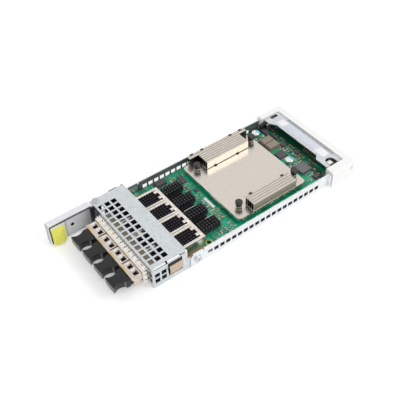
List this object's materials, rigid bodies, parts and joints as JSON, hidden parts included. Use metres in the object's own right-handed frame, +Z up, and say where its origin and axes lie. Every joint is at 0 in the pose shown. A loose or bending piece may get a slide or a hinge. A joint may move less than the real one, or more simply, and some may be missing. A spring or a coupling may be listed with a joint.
{
  "type": "ethernet adapter card",
  "caption": "Hot-swap network adapter: folded tray and perforated bezel round a board with caged pluggable ports, dust plugs, finned heat sink and a swinging ejector lever.",
  "frame": {"origin": "middle of the tray's underside", "axes": "+Z up from the tray, +Y from the ports to the rear connector, lever on the -X side"},
  "size_m": [0.0836, 0.2102, 0.0187],
  "materials": {
    "zinc_steel": "zinc plated, fine spangle",
    "copper_spring": "satin copper alloy",
    "light_plastic": "matte moulded",
    "lime_plastic": "moulded, matte",
    "spring_steel": "drawn wire and strip",
    "board_laminate": "green solder mask",
    "nickel_sheet": "satin nickel",
    "champagne_aluminium": "satin nickel plated",
    "module_alloy": "plated casting",
    "bail_steel": "warm plated strip",
    "plug_rubber": "matte black",
    "black_aluminium": "black anodised",
    "black_plastic": "moulded, matte",
    "capacitor_can": "drawn can with a coloured top mark",
    "ferrite": "moulded iron powder",
    "ceramic_chip": "fired ceramic with tinned ends"
  },
  "bodies": {
    "chassis": {"base_tray": "zinc_steel", "front_bezel": "zinc_steel", "rear_bracket": "zinc_steel", "bezel_screws": "zinc_steel", "lever_pivot_pin": "zinc_steel", "board_screws": "zinc_steel", "board_standoffs": "zinc_steel", "side_spring_right": "copper_spring", "side_spring_left": "copper_spring", "rear_guard": "light_plastic", "guide_socket": "light_plastic", "pin_springs": "spring_steel", "cage_clips": "spring_steel", "circuit_board": "board_laminate", "port_cage": "nickel_sheet", "cage_dividers": "nickel_sheet", "cage_collar": "nickel_sheet", "heatsink_base": "champagne_aluminium", "fin_stack_left": "champagne_aluminium", "fin_stack_right": "champagne_aluminium", "cage_heatsink_1": "black_aluminium", "cage_heatsink_2": "black_aluminium", "cage_heatsink_3": "black_aluminium", "cage_heatsink_4": "black_aluminium", "phy_heatsink_1": "black_aluminium", "phy_heatsink_2": "black_aluminium", "phy_heatsink_3": "black_aluminium", "phy_heatsink_4": "black_aluminium", "push_pins": "black_plastic", "port_connectors": "black_plastic", "backplane_connector": "black_plastic", "phy_chips": "black_plastic", "main_chip": "black_plastic", "board_chips": "black_plastic", "can_capacitors": "capacitor_can", "power_inductors": "ferrite", "chip_capacitors": "ceramic_chip"},
    "lever": {"ejector_lever": "zinc_steel", "lever_hub": "black_plastic", "lever_liner": "light_plastic", "latch_spring": "spring_steel"},
    "latch": {"lever_latch": "lime_plastic"},
    "transceiver_1": {"transceiver_1": "module_alloy", "transceiver_bail_1": "bail_steel"},
    "plug_1": {"dust_plug_1": "plug_rubber"},
    "transceiver_2": {"transceiver_2": "module_alloy", "transceiver_bail_2": "bail_steel"},
    "plug_2": {"dust_plug_2": "plug_rubber"},
    "transceiver_3": {"transceiver_3": "module_alloy", "transceiver_bail_3": "bail_steel"},
    "plug_3": {"dust_plug_3": "plug_rubber"},
    "transceiver_4": {"transceiver_4": "module_alloy", "transceiver_bail_4": "bail_steel"},
    "plug_4": {"dust_plug_4": "plug_rubber"}
  },
  "joints": [
    {"name": "lever_swing", "type": "hinge", "parent": "chassis", "child": "lever", "pos_m": [-0.0355, -0.0816, 0.009], "axis": [0, 0, -1], "range_deg": [0, 75]},
    {"name": "latch_press", "type": "slide", "parent": "lever", "child": "latch", "axis": [-1, 0, 0], "range_m": [0, 0.0012], "stiffness_N_per_m": 600, "deforming": ["latch_spring"]},
    {"name": "transceiver_1_slide", "type": "slide", "parent": "chassis", "child": "transceiver_1", "axis": [0, -1, 0], "range_m": [0, 0.038]},
    {"name": "plug_1_pull", "type": "slide", "parent": "transceiver_1", "child": "plug_1", "axis": [0, -1, 0], "range_m": [0, 0.007]},
    {"name": "transceiver_2_slide", "type": "slide", "parent": "chassis", "child": "transceiver_2", "axis": [0, -1, 0], "range_m": [0, 0.038]},
    {"name": "plug_2_pull", "type": "slide", "parent": "transceiver_2", "child": "plug_2", "axis": [0, -1, 0], "range_m": [0, 0.007]},
    {"name": "transceiver_3_slide", "type": "slide", "parent": "chassis", "child": "transceiver_3", "axis": [0, -1, 0], "range_m": [0, 0.038]},
    {"name": "plug_3_pull", "type": "slide", "parent": "transceiver_3", "child": "plug_3", "axis": [0, -1, 0], "range_m": [0, 0.007]},
    {"name": "transceiver_4_slide", "type": "slide", "parent": "chassis", "child": "transceiver_4", "axis": [0, -1, 0], "range_m": [0, 0.038]},
    {"name": "plug_4_pull", "type": "slide", "parent": "transceiver_4", "child": "plug_4", "axis": [0, -1, 0], "range_m": [0, 0.007]}
  ]
}
